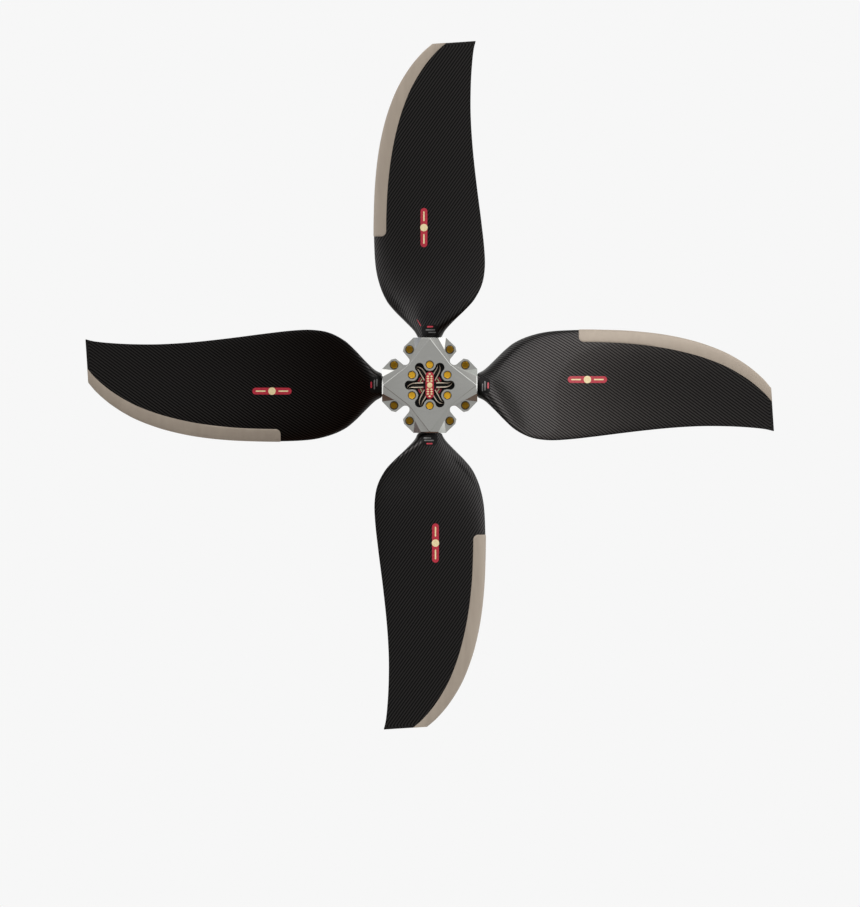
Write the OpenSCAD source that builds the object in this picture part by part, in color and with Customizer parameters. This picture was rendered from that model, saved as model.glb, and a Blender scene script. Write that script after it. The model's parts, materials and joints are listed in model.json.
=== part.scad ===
// Four-blade ground-adjustable propeller: carbon blades in a two-part clamp hub.
// The modules draw the hub with its spin axis along Z, its front upwards and blade 1 along +Y.
// to_part_frame() then stands it up: front towards -Y, blade 1 towards +Z, blade 2 towards +X,
// with the origin at the centre of the rear face.

/* [Hub] */
// Half the hub's thickness at the round land
land_z = 50.8; // [48:0.2:54]
// Height of the flat star face above the parting plane
star_z = 49.3; // [47:0.1:50]
// Height of the bolt ears above the parting plane
ear_z = 22; // [20:0.5:26]
// Radius of the round land
land_r = 79.5; // [76:0.5:82]
// Distance from the spin axis to an arm's end face
arm_end = 140.5; // [139:0.5:143]
// Depth of the front pocket
pocket_depth = 22; // [16:0.5:24]
// Radius of the pilot bore in the rear face
pilot_r = 28.6; // [24:0.1:32]
// Depth of the pilot bore
pilot_depth = 20; // [10:1:26]

/* [Blade sockets] */
// Radius of the bore that grips the root ferrule
socket_r = 36; // [35.5:0.5:38]
// Radius of the groove that holds the ferrule's knuckle
groove_r = 42; // [40:0.5:43]
// Inner end of the groove, from the spin axis
groove_start = 80; // [79:0.5:81]
// Outer end of the groove, from the spin axis
groove_end = 96; // [92:0.5:97]
// Radial clearance between ferrule and socket
root_clearance = 0.05; // [0.02:0.01:0.1]

/* [Fasteners] */
// Thread radius of every bolt
bolt_r = 6.35; // [6:0.05:6.5]
// Width across flats of every hexagon
hex_af = 19.05; // [18:0.05:20]
// Height of the bolt heads
head_h = 8; // [6:0.5:10]
// Thickness of the washers
washer_t = 2.4; // [1.5:0.1:3]
// Bolt circle of the engine flange, diameter
flange_pcd = 120.65; // [119:0.05:122]
// How far the flange bolts stand out behind the hub
flange_reach = 32; // [20:1:45]

/* [Blades] */
// Rise of the cut tip per millimetre of chord
tip_slant = 0.055; // [0:0.005:0.08]
// Pitch of the blade's helix divided by a full turn
helix_radius = 161.7; // [120:0.1:200]
// Forward thickening of the aerofoil
nose_bias = 0.5; // [0.3:0.05:0.6]
// Camber as a share of half the thickness
camber = 0.55; // [0.3:0.05:0.6]
// Skin thickness outboard of the root
skin_t = 3; // [2.5:0.5:4]

/* [Leading-edge guard] */
// Radius where the guard begins
guard_start = 442; // [425:1:470]
// Width of the guard seen from the front, at its inner end
guard_w = 36; // [33:1:40]
// How much wider it is near the tip
guard_growth = 4; // [0:1:8]
// Thickness of the guard's metal
guard_t = 1; // [0.6:0.1:1.4]
// Radius of the guard's inner corner
guard_corner = 15; // [8:1:15]

/* [Hidden] */
$fn = 64;
blade_count = 4;
flange_count = 6;
pocket_floor = land_z - pocket_depth;
flange_r = flange_pcd / 2;
hex_r = hex_af / 2 / cos(30);
far = 400;

// Clamp bolts: place of the one right of arm 1, and the sizes of its seat
clamp_at = [59.5, 105.2];
clamp_hole_r = 6.6;
seat_r = 15.6;
seat_edge = [[47.9, 141], [43.9, 107], [46.8, 96], [59.7, 75.5]];

// Hub outline in one quadrant, from the end of arm 1 round the notch to the end of arm 2
ear_inner = [47.9, arm_end];
ear_outer = [75.8, 113.7];
ear_tip = [78.9, 100.2];
notch_side = [62.3, 79.8];
notch_at = [72, 72];
notch_r = 12.45;
end_chamfer = 3.3;
end_slope = [0, 1];

// Facets: the shallow one leaves the star's edge, the steep one runs from it to the ear
star_apex = [0, 137.4];
star_inner = [60, 60];
star_step = 1.2;
shoulder_slope = 0.02;
steep_top = [23.6, 140.5, star_z - star_step];
steep_slope = [0.914, 0.5025];

// Front pocket
pocket_r = 45;
lobe_r = 14;
lobe_at = 60;
boss_r = 17.6;
counterbore_r = 13;
head_seat_z = 36.8;
flange_hole_r = 6.75;
lug_r = 9.55;
lug_depth = 16;

// Dowel pins between the halves
dowel_at = 52;
dowel_r = 4;
dowel_depth = 10;

// Blade root
root_start = 82;
ferrule_r = socket_r - root_clearance;
ferrule_end = 138;
tenon_r = 29.95;
ferrule_bore_r = 30;
plug_r = 23.8;
plug_end = 178;
shank_r = 35.9;
shank_end = 143;
core_end = 905;
aerofoil_from = 300;
ring_points = 24;
tip_r = 1009;
guard_gap = 0.3;

// Edges seen from the front: [distance from the spin axis, distance from the blade's pitch axis]
LEADING_EDGE = [[shank_end, -shank_r], [162, -47], [190, -73], [220, -102.5], [250, -126.5], [295, -147],
                [350, -160], [430, -165], [510, -164.5], [600, -160.5], [690, -150.5], [766, -135],
                [825, -117], [884, -92], [942, -56], [985, -19], [tip_r, 9]];
TRAILING_EDGE = [[shank_end, shank_r], [162, 46], [190, 72.5], [220, 104], [250, 131], [295, 154],
                 [345, 162.5], [400, 161], [480, 152.5], [600, 137.5], [706, 126.5], [800, 121],
                 [884, 121.5], [942, 125], [985, 130], [tip_r, 136]];
// Half of the blade's thickness along its length
HALF_THICKNESS = [[shank_end, shank_r], [180, 33.5], [230, 28.5], [300, 23.5], [353, 21],
                  [550, 15.5], [762, 10.5], [900, 7], [tip_r, 3.5]];
// Laminate thickness along the blade: solid round the root plug, a thin skin outboard
LAMINATE = [[shank_end, 12], [plug_end, 10], [aerofoil_from, skin_t], [core_end, skin_t]];
SKIN_STATIONS = [shank_end, 160, 178, 200, 225, 255, 300, 350, 400, guard_start,
                 guard_start + guard_corner, 520, 620, 710, 780, 840, 890, 930, 965, 990, tip_r];
CORE_STATIONS = [186, 200, 225, 255, 300, 350, 430, 520, 620, 710, 780, 840, core_end];
GUARD_STATIONS = concat([for (u = [0, 0.15, 0.5, 1]) guard_start + u * guard_corner],
                        [520, 620, 710, 780, 840, 890, 930, 965, 990, tip_r]);

// Smooth curve through points [position, value]
function slope_at(p, i) =
    let(a = p[max(i - 1, 0)], b = p[min(i + 1, len(p) - 1)])
    (b[1] - a[1]) / (b[0] - a[0]);
function curve(p, r) =
    let(i = max([for (k = [0:len(p) - 2]) r >= p[k][0] ? k : 0]),
        a = p[i], b = p[i + 1], h = b[0] - a[0],
        u = min(max((r - a[0]) / h, 0), 1))
    a[1] * (1 + 2 * u) * pow(1 - u, 2) + h * slope_at(p, i) * u * pow(1 - u, 2)
    + b[1] * u * u * (3 - 2 * u) - h * slope_at(p, i + 1) * u * u * (1 - u);
function smooth(u) = let(v = min(max(u, 0), 1)) v * v * (3 - 2 * v);

// Blade section at distance r, shrunk by inset on every side, on the same camber line
function twist(r) = atan(helix_radius / r);
function half_chord(r) =
    let(w = (curve(TRAILING_EDGE, r) - curve(LEADING_EDGE, r)) / 2, h = curve(HALF_THICKNESS, r))
    sqrt(w * w - pow(h * sin(twist(r)), 2)) / cos(twist(r));
function offset_chord(r) = (curve(TRAILING_EDGE, r) + curve(LEADING_EDGE, r)) / 2 / cos(twist(r));
function blend_at(r) = smooth((r - shank_end) / (aerofoil_from - shank_end));
function section_point(r, angle, inset) =
    let(m = blend_at(r), b = twist(r), chord = half_chord(r), thick = curve(HALF_THICKNESS, r),
        a = chord - inset * (inset > 0 ? 1 + 2 * m : 1), h = thick - inset,
        s = offset_chord(r) - a * cos(angle),
        q = h * sin(angle) * (1 + nose_bias * m * cos(angle))
            - m * camber * thick * (1 - pow(a / chord * cos(angle), 2)),
        x = s * cos(b) - q * sin(b),
        slant = tip_slant * min(max((r - 900) / (tip_r - 900), 0), 1))
    [x, r + slant * (x - curve(LEADING_EDGE, r)), s * sin(b) + q * cos(b)];
function section(r, inset = 0) =
    [for (k = [0:ring_points - 1]) section_point(r, 360 * k / ring_points, inset)];
function ring(r, y) =
    [for (k = [0:ring_points - 1])
        let(angle = 360 * k / ring_points) [-r * cos(angle), y, r * sin(angle)]];
function reversed(list) = [for (i = [len(list) - 1:-1:0]) list[i]];

// Guard section: round the leading edge on the outside and back on the inside
function guard_width(r) =
    let(d = guard_corner - min(r - guard_start, guard_corner))
    guard_w + guard_growth * smooth((r - 480) / 320)
    - guard_corner + sqrt(pow(guard_corner, 2) - d * d);
// The front surface leans towards the leading edge, by about 0.7 of half the thickness
function guard_angle(r) =
    let(lean = 0.7 * curve(HALF_THICKNESS, r) * sin(twist(r)))
    acos(1 - (guard_width(r) + lean) / cos(twist(r)) / half_chord(r));
function guard_section(r) =
    let(reach = guard_angle(r), step = 360 / ring_points, between = (reach + 2 * step) / 2,
        angles = [-reach, -between, -2 * step, -step, 0, step, 2 * step, between, reach])
    concat([for (angle = angles) section_point(r, angle, -guard_gap - guard_t)],
           [for (angle = angles) section_point(r, -angle, -guard_gap)]);

// Closed solid through a list of rings with the same number of points. From column flip on, the
// squares are cut along their other diagonal, so that a surface run the other way still fits its mate.
module loft(rings, flip = 1000) {
    n = len(rings[0]);
    last = len(rings) - 1;
    sides = [for (i = [0:last - 1], j = [0:n - 1])
        let(a = i * n + j, b = i * n + (j + 1) % n)
        each j < flip ? [[a, a + n, b + n], [a, b + n, b]] : [[a, a + n, b], [a + n, b + n, b]]];
    polyhedron(points = [for (r = rings) each r],
               faces = concat(sides, [[for (j = [0:n - 1]) j], [for (j = [n - 1:-1:0]) last * n + j]]));
}

module to_part_frame() {
    rotate([90, 0, 0]) translate([0, 0, land_z]) children();
}

module around(count, start = 0) {
    for (i = [0:count - 1]) rotate([0, 0, start + i * 360 / count]) children();
}

// Everything under the plane through p that falls by slope[0] along X and slope[1] along Y
module under_plane(p, slope) {
    translate(p)
        rotate([0, atan(norm(slope)), atan2(slope[1], slope[0])])
            translate([-far / 2, -far / 2, -far])
                cube(far);
}

module both_sides() {
    children();
    mirror([1, 0, 0]) children();
}

module at_clamp_bolts() {
    around(blade_count) both_sides() translate(clamp_at) children();
}

module at_flange_bolts() {
    around(flange_count, 30) translate([flange_r, 0]) children();
}

module hex_prism(height) {
    rotate([0, 0, 30]) cylinder(r = hex_r, h = height, $fn = 6);
}

function swapped(p) = [p[1], p[0]];
function quadrant() = [ear_inner, ear_outer, ear_tip, notch_side, swapped(notch_side),
                       swapped(ear_tip), swapped(ear_outer), swapped(ear_inner)];
function turned(p, i) = let(a = -90 * i)
    [p[0] * cos(a) - p[1] * sin(a), p[0] * sin(a) + p[1] * cos(a)];

module hub_outline() {
    difference() {
        polygon([for (i = [0:blade_count - 1]) each [for (p = quadrant()) turned(p, i)]]);
        around(blade_count) translate(notch_at) circle(r = notch_r);
    }
}

// Everything under a plane and under its mirror image on the arm's other side
module under_pair(p, slope) {
    intersection() {
        under_plane(p, slope);
        mirror([1, 0, 0]) under_plane(p, slope);
    }
}

// Everything under the two planes that fall away from the star's edges on one arm
module under_star(z, slope) {
    edge = star_inner - star_apex;
    outward = [-edge[1], edge[0]] / norm(edge);
    under_pair([star_apex[0], star_apex[1], z], slope * outward);
}

// The part of one arm above its ears, cut by its facets. The star stands up by a small step.
module arm_top() {
    intersection() {
        linear_extrude(star_z) hub_outline();
        linear_extrude(far) polygon([[0, 0], [far / 2, far / 2], [-far / 2, far / 2]]);
        under_pair([0, arm_end - end_chamfer, star_z - star_step], end_slope);
        union() {
            under_star(star_z - star_step, shoulder_slope);
            under_star(star_z, 1);
        }
        under_pair(steep_top, steep_slope);
    }
}

// Level seat of a clamp bolt with its hole: round the bolt, and open to the outside of the ear
module clamp_seat() {
    translate([clamp_at[0], clamp_at[1], ear_z]) cylinder(r = seat_r, h = far);
    translate([clamp_at[0], clamp_at[1], -far / 2]) cylinder(r = clamp_hole_r, h = far);
    translate([0, 0, ear_z]) linear_extrude(far)
        polygon(concat(seat_edge, [[far, seat_edge[3][1]], [far, far], [seat_edge[0][0], far]]));
}

module blade_socket() {
    rotate([-90, 0, 0]) {
        translate([0, 0, groove_start]) cylinder(r = groove_r, h = groove_end - groove_start);
        translate([0, 0, groove_end - 1]) cylinder(r = socket_r, h = far);
    }
}

// One half of the hub without its pockets
module hub_half_blank() {
    difference() {
        union() {
            linear_extrude(ear_z) hub_outline();
            around(blade_count) arm_top();
            cylinder(r = land_r, h = land_z);
        }
        around(blade_count) blade_socket();
        around(blade_count) both_sides() intersection() {
            clamp_seat();
            linear_extrude(far, center = true) polygon([[0, 0], [far, far], [0, far]]);
        }
        at_flange_bolts() translate([0, 0, -1]) cylinder(r = flange_hole_r, h = far);
        around(blade_count) translate([dowel_at, dowel_at, -1])
            cylinder(r = dowel_r, h = dowel_depth + 1);
    }
}

module pocket_outline() {
    difference() {
        union() {
            circle(r = pocket_r);
            around(flange_count) {
                translate([0, -lobe_r]) square([lobe_at, 2 * lobe_r]);
                translate([lobe_at, 0]) circle(r = lobe_r);
            }
        }
        at_flange_bolts() circle(r = boss_r);
    }
}

module hub_front_half() {
    color("silver") to_part_frame() difference() {
        hub_half_blank();
        translate([0, 0, pocket_floor]) linear_extrude(far) pocket_outline();
        at_flange_bolts() translate([0, 0, head_seat_z]) cylinder(r = counterbore_r, h = far);
    }
}

module hub_rear_half() {
    color("silver") to_part_frame() mirror([0, 0, 1]) difference() {
        hub_half_blank();
        translate([0, 0, land_z - pilot_depth]) cylinder(r = pilot_r, h = far);
        at_flange_bolts() translate([0, 0, land_z - lug_depth]) cylinder(r = lug_r, h = far);
    }
}

module hub_dowel_pins() {
    color("dimgray") to_part_frame() around(blade_count)
        translate([dowel_at, dowel_at, -dowel_depth + 0.5])
            cylinder(r = dowel_r, h = 2 * dowel_depth - 1);
}

// One arm of the cap: straight, then bent at its end
module cap_arm() {
    polygon([[0, -9], [40, -9], [52, -8], [60, -4], [65, 3], [67.5, 10],
             [66, 12], [62, 9.5], [56, 7.5], [40, 8.5], [0, 9]]);
}

module centre_cap() {
    base_t = 3;
    arm_t = 11;
    color([0.03, 0.03, 0.03]) to_part_frame() translate([0, 0, pocket_floor]) {
        linear_extrude(base_t) offset(delta = -0.5) pocket_outline($fn = 32);
        translate([0, 0, base_t]) linear_extrude(arm_t) around(flange_count) cap_arm();
    }
}

module cap_badge() {
    cap_top = pocket_floor + 14;
    badge_l = 80;
    badge_w = 24;
    straight = badge_l - badge_w;
    color("firebrick") to_part_frame() translate([0, 0, cap_top]) linear_extrude(3) {
        square([badge_w, straight], center = true);
        for (side = [-1, 1]) translate([0, side * straight / 2]) circle(d = badge_w);
    }
}

module clamp_bolts() {
    length = 2 * (ear_z + washer_t) + 14;
    color("goldenrod") to_part_frame() at_clamp_bolts() {
        translate([0, 0, ear_z + washer_t]) hex_prism(head_h);
        translate([0, 0, ear_z + washer_t - length]) cylinder(r = bolt_r, h = length);
    }
}

module washer(outer_r = 12) {
    difference() {
        cylinder(r = outer_r, h = washer_t);
        translate([0, 0, -1]) cylinder(r = clamp_hole_r, h = washer_t + 2);
    }
}

module clamp_washers_front() {
    color("gold") to_part_frame() at_clamp_bolts() translate([0, 0, ear_z]) washer(13);
}

module clamp_washers_rear() {
    color("gold") to_part_frame() at_clamp_bolts() translate([0, 0, -ear_z - washer_t]) washer(13);
}

module clamp_lock_nuts() {
    nut_h = 8;
    collar_h = 3;
    color("goldenrod") to_part_frame() at_clamp_bolts() mirror([0, 0, 1])
        translate([0, 0, ear_z + washer_t]) difference() {
            union() {
                hex_prism(nut_h);
                cylinder(r = 8.5, h = nut_h + collar_h);
            }
            translate([0, 0, -1]) cylinder(r = bolt_r + 0.02, h = far);
        }
}

// The bolt's thread starts in the drive-lug counterbore. The shank above it is slimmer.
module flange_bolts() {
    grip_r = bolt_r - 0.35;
    head_z = head_seat_z + washer_t;
    thread_top = lug_depth - 1 - land_z;
    thread_l = lug_depth - 1 + flange_reach;
    color("goldenrod") to_part_frame() at_flange_bolts() {
        translate([0, 0, head_z]) hex_prism(head_h);
        translate([0, 0, thread_top]) cylinder(r = grip_r, h = head_z - thread_top);
        translate([0, 0, thread_top - thread_l]) cylinder(r = bolt_r, h = thread_l);
    }
}

module flange_washers() {
    color("gold") to_part_frame() at_flange_bolts() translate([0, 0, head_seat_z]) washer();
}

module at_blade(number) {
    to_part_frame() rotate([0, 0, -360 / blade_count * (number - 1)]) children();
}

function cavity_rings() = [for (r = CORE_STATIONS) section(r, curve(LAMINATE, r))];

module blade_skin(number) {
    bore_r = plug_r + 0.3;
    inner = concat([ring(bore_r, root_start), ring(bore_r, plug_end)], cavity_rings());
    outer = concat([ring(tenon_r, root_start), ring(tenon_r, ferrule_end + 0.2),
                    ring(shank_r, ferrule_end + 0.2)],
                   [for (r = SKIN_STATIONS) section(r)]);
    color([0.12, 0.12, 0.12]) at_blade(number) loft(concat(reversed(inner), outer));
}

module blade_core(number) {
    color("wheat") at_blade(number) loft(cavity_rings(), flip = 0);
}

module root_ferrule(number) {
    knuckle_r = groove_r - root_clearance;
    color("lightgray") at_blade(number) rotate([-90, 0, 0]) difference() {
        union() {
            translate([0, 0, groove_start + 0.1])
                cylinder(r = knuckle_r, h = groove_end - groove_start - 0.2);
            translate([0, 0, groove_start + 0.1])
                cylinder(r = ferrule_r, h = ferrule_end - groove_start - 0.1);
        }
        cylinder(r = ferrule_bore_r, h = far);
    }
}

module root_plug(number) {
    color("gray") at_blade(number) rotate([-90, 0, 0]) translate([0, 0, root_start])
        cylinder(r = plug_r, h = plug_end - root_start);
}

module leading_edge_guard(number) {
    rings = [for (r = GUARD_STATIONS) guard_section(r)];
    color([0.65, 0.6, 0.52]) at_blade(number) loft(rings, flip = len(rings[0]) / 2);
}

hub_front_half();
hub_rear_half();
centre_cap();
cap_badge();
hub_dowel_pins();
clamp_bolts();
clamp_washers_front();
clamp_washers_rear();
clamp_lock_nuts();
flange_bolts();
flange_washers();
for (i = [1:blade_count]) {
    blade_skin(i);
    blade_core(i);
    root_ferrule(i);
    root_plug(i);
    leading_edge_guard(i);
}
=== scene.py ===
"""Looks of the four-blade ground-adjustable propeller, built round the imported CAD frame."""
import functools
import json
import math

import bmesh
import bpy
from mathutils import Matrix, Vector

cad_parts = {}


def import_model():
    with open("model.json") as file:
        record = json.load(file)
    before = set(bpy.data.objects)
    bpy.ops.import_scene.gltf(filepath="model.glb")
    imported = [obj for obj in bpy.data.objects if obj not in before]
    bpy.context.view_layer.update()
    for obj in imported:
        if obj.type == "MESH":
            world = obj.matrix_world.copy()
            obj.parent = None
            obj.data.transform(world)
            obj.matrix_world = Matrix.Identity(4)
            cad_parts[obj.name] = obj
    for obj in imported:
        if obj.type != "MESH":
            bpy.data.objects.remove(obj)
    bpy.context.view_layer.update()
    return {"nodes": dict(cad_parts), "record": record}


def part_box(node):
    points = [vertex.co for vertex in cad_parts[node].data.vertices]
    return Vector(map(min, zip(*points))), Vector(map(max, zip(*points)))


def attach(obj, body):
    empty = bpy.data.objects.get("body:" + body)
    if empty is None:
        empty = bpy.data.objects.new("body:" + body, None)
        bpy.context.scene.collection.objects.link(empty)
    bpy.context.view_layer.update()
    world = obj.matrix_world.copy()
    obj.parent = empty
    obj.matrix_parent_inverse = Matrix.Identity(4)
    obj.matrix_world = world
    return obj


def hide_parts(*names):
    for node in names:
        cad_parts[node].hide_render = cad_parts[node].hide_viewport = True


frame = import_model()
NODES = frame["nodes"]
MM = 0.001
BLADES = (1, 2, 3, 4)

# ---------------------------------------------------------------- places read from the frame
PARTING_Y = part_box("hub_front_half")[1][1]
FRONT_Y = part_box("hub_front_half")[0][1]
CAP_FLOOR = PARTING_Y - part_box("centre_cap")[1][1]
BOLT_CIRCLE = next(m for m in frame["record"]["mounts"] if m["name"] == "flange_bolts")
FLANGE_R = BOLT_CIRCLE["dims"]["pcd_mm"] * MM / 2
BOLT_R = BOLT_CIRCLE["dims"]["stud_r_mm"] * MM

# ---------------------------------------------------------------- blade shape, in millimetres
HELIX_RADIUS = 161.7
NOSE_BIAS = 0.5
CAMBER = 0.55
TIP_R = 1009
TIP_SLANT = 0.055
SLANT_FROM = 900
FERRULE_END = 138.2
SHANK_END = 143
SHANK_R = 35.9
AEROFOIL_FROM = 300
CORE_FROM = 186
CORE_END = 905
LEADING_EDGE = [(SHANK_END, -SHANK_R), (162, -47), (190, -73), (220, -102.5), (250, -126.5),
                (295, -147), (350, -160), (430, -165), (510, -164.5), (600, -160.5), (690, -150.5),
                (766, -135), (825, -117), (884, -92), (942, -56), (985, -19), (TIP_R, 9)]
TRAILING_EDGE = [(SHANK_END, SHANK_R), (162, 46), (190, 72.5), (220, 104), (250, 131), (295, 154),
                 (345, 162.5), (400, 161), (480, 152.5), (600, 137.5), (706, 126.5), (800, 121),
                 (884, 121.5), (942, 125), (985, 130), (TIP_R, 136)]
HALF_THICKNESS = [(SHANK_END, SHANK_R), (180, 33.5), (230, 28.5), (300, 23.5), (353, 21),
                  (550, 15.5), (762, 10.5), (900, 7), (TIP_R, 3.5)]
PLUG_END = 178
LAMINATE = [(SHANK_END, 12), (PLUG_END, 10), (AEROFOIL_FROM, 3), (CORE_END, 3)]
TENON_R = 29.9
BORE_R = 24.1
ROOT_START = 82
TIP_ROUNDING = 3

# Leading-edge guard
GUARD_START = 442
GUARD_W = 36
GUARD_GROWTH = 4
GUARD_T = 1
GUARD_GAP = 0.3
GUARD_CORNER = 15
# Share of the half thickness by which the guard reaches further, because the section is tilted
GUARD_LEAN = 0.7
# Height of the guard's inner face over the skin's surface
GUARD_SEAT = 0.05


def slope_at(points, i):
    a = points[max(i - 1, 0)]
    b = points[min(i + 1, len(points) - 1)]
    return (b[1] - a[1]) / (b[0] - a[0])


def curve(points, r):
    """Smooth curve through points (position, value), as in the CAD."""
    i = max(k for k in range(len(points) - 1) if k == 0 or r >= points[k][0])
    a, b = points[i], points[i + 1]
    h = b[0] - a[0]
    u = min(max((r - a[0]) / h, 0), 1)
    return (a[1] * (1 + 2 * u) * (1 - u) ** 2 + h * slope_at(points, i) * u * (1 - u) ** 2
            + b[1] * u * u * (3 - 2 * u) - h * slope_at(points, i + 1) * u * u * (1 - u))


def smooth(u):
    v = min(max(u, 0), 1)
    return v * v * (3 - 2 * v)


def twist(r):
    return math.atan(HELIX_RADIUS / r)


@functools.cache
def section_shape(r):
    """Twist, half thickness, edges seen from the front and half chord of the section at r."""
    b = twist(r)
    half = curve(HALF_THICKNESS, r)
    leading = curve(LEADING_EDGE, r)
    trailing = curve(TRAILING_EDGE, r)
    w = (trailing - leading) / 2
    return b, half, leading, trailing, math.sqrt(w * w - (half * math.sin(b)) ** 2) / math.cos(b)


def section_point(r, angle, inset=0.0, shrink=0.0):
    """Point of the section at r, at angle round it from the leading edge, in blade 1's place."""
    m = smooth((r - SHANK_END) / (AEROFOIL_FROM - SHANK_END))
    b, half, leading, trailing, chord = section_shape(r)
    a = chord - inset * (1 + 2 * m if inset > 0 else 1) - shrink
    h = max(half - inset - shrink, 0.3)
    s = (trailing + leading) / 2 / math.cos(b) - a * math.cos(angle)
    q = h * math.sin(angle) * (1 + NOSE_BIAS * m * math.cos(angle))
    q -= m * CAMBER * half * (1 - (a / chord * math.cos(angle)) ** 2)
    x = s * math.cos(b) - q * math.sin(b)
    slant = TIP_SLANT * min(max((r - SLANT_FROM) / (TIP_R - SLANT_FROM), 0), 1)
    return (x, r + slant * (x - leading), s * math.sin(b) + q * math.cos(b))


def angle_at(r, x):
    """Angle round the section where the front surface is at x, seen from the front."""
    low, high = 0.02, math.pi - 0.02
    for _ in range(30):
        middle = (low + high) / 2
        if section_point(r, middle)[0] < x:
            low = middle
        else:
            high = middle
    return (low + high) / 2


def front_point(r, x, lift):
    """Point of the blade's front surface at (x, r), lifted off it, in blade 1's place."""
    x0, y0, z0 = section_point(r, angle_at(r, x))
    dx = section_point(r, angle_at(r, x + 1))
    dr = section_point(r + 1, angle_at(r + 1, x))
    normal = Vector((dx[0] - x0, dx[1] - y0, dx[2] - z0)).cross(
        Vector((dr[0] - x0, dr[1] - y0, dr[2] - z0))).normalized()
    return (x0 + lift * normal.x, y0 + lift * normal.y, z0 + lift * normal.z)


# ---------------------------------------------------------------- mesh helpers
def to_frame(point, turn=0.0):
    """From the hub's drawing (x right, y up, z to the front, millimetres) to the row frame."""
    x, y, z = point
    c, s = math.cos(turn), math.sin(turn)
    return ((x * c - y * s) * MM, PARTING_Y - z * MM, (x * s + y * c) * MM)


def blade_turn(number):
    return -math.pi / 2 * (number - 1)


def make_piece(name, points, faces, body, slot, material, uvs=None, flat_over=None):
    """Mesh piece that rides on a body. uvs is one (u, v) for each corner of each face."""
    mesh = bpy.data.meshes.new(name)
    mesh.from_pydata(points, [], faces)
    if uvs:
        layer = mesh.uv_layers.new(name="UVMap")
        for loop, uv in zip(layer.data, uvs):
            loop.uv = uv
    mesh.validate()
    piece = bpy.data.objects.new(name, mesh)
    bpy.context.scene.collection.objects.link(piece)
    finish_piece(piece, body, slot, material, flat_over)
    return piece


def finish_piece(piece, body, slot, material, flat_over=None):
    mesh = piece.data
    work = bmesh.new()
    work.from_mesh(mesh)
    bmesh.ops.remove_doubles(work, verts=work.verts, dist=1e-7)
    bmesh.ops.recalc_face_normals(work, faces=work.faces)
    work.to_mesh(mesh)
    work.free()
    mesh.materials.clear()
    mesh.materials.append(material)
    if flat_over is None:
        mesh.shade_smooth()
    elif flat_over == 0:
        mesh.shade_flat()
    else:
        mesh.shade_smooth()
        mesh.set_sharp_from_angle(angle=math.radians(flat_over))
    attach(piece, body)


def loft(rings):
    """Points and faces of a closed solid through rings with the same number of points."""
    n = len(rings[0])
    last = len(rings) - 1
    points = [p for ring in rings for p in ring]
    faces = []
    for i in range(last):
        for j in range(n):
            a, b = i * n + j, i * n + (j + 1) % n
            faces.append((a, b, b + n, a + n))
    faces.append(tuple(range(n - 1, -1, -1)))
    faces.append(tuple(last * n + j for j in range(n)))
    return points, faces


def revolve(profile, count=48):
    """Rings of a turned part along Z from its profile of (radius, height) points."""
    return [[(r * math.cos(2 * math.pi * k / count), r * math.sin(2 * math.pi * k / count), z)
             for k in range(count)] for r, z in profile]


def closed_loft(rings):
    """Points and faces of a solid whose last ring joins its first, such as a nut."""
    n = len(rings[0])
    points = [p for ring in rings for p in ring]
    faces = []
    for i in range(len(rings)):
        after = (i + 1) % len(rings)
        for j in range(n):
            faces.append((i * n + j, i * n + (j + 1) % n, after * n + (j + 1) % n, after * n + j))
    return points, faces


def span(start, stop, step):
    count = max(1, round((stop - start) / step))
    return [start + (stop - start) * i / count for i in range(count + 1)]


# ---------------------------------------------------------------- materials
class Nodes:
    """Short way to write a material's node tree."""

    def __init__(self, name):
        self.material = bpy.data.materials.new(name)
        self.material.use_nodes = True
        self.tree = self.material.node_tree
        self.shader = self.tree.nodes["Principled BSDF"]

    def add(self, kind, inputs=(), **settings):
        node = self.tree.nodes.new(kind)
        for key, value in settings.items():
            setattr(node, key, value)
        for key, value in dict(inputs).items():
            self.put(node.inputs[key], value)
        return node

    def put(self, socket, value):
        if isinstance(value, bpy.types.NodeSocket):
            self.tree.links.new(value, socket)
        else:
            socket.default_value = value

    def set(self, **inputs):
        for key, value in inputs.items():
            self.put(self.shader.inputs[key.replace("_", " ")], value)

    def math(self, operation, a, b=0.0, c=0.0):
        return self.add("ShaderNodeMath", {0: a, 1: b, 2: c}, operation=operation).outputs[0]

    def noise(self, scale, detail=2.0, coordinates=None, stretch=None):
        if coordinates is None:
            coordinates = self.add("ShaderNodeTexCoord").outputs["Object"]
        if stretch:
            coordinates = self.add("ShaderNodeMapping",
                                   {"Vector": coordinates, "Scale": stretch}).outputs[0]
        return self.add("ShaderNodeTexNoise",
                        {"Vector": coordinates, "Scale": scale, "Detail": detail}).outputs[0]

    def ramp(self, value, stops):
        node = self.add("ShaderNodeValToRGB", {"Fac": value})
        elements = node.color_ramp.elements
        while len(elements) < len(stops):
            elements.new(0.5)
        for element, (place, colour) in zip(elements, stops):
            element.position = place
            element.color = (*colour, 1)
        return node.outputs["Color"]

    def scaled(self, value, low, high):
        return self.add("ShaderNodeMapRange",
                        {"Value": value, "To Min": low, "To Max": high}).outputs["Result"]

    def bump(self, height, strength, distance):
        self.set(Normal=self.add("ShaderNodeBump", {"Height": height, "Strength": strength,
                                                    "Distance": distance}).outputs["Normal"])


def machined_aluminium():
    m = Nodes("machined_aluminium")
    grain = m.noise(900, 3)
    cloud = m.noise(14, 2)
    tone = m.math("ADD", m.scaled(cloud, -0.12, 0.12), m.scaled(grain, 0.42, 0.58))
    m.set(Base_Color=m.ramp(tone, [(0.0, (0.5, 0.5, 0.482)), (1.0, (0.63, 0.63, 0.61))]),
          Metallic=1.0, Roughness=m.scaled(grain, 0.2, 0.28))
    m.bump(grain, 0.06, 0.0003)
    return m.material


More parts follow.
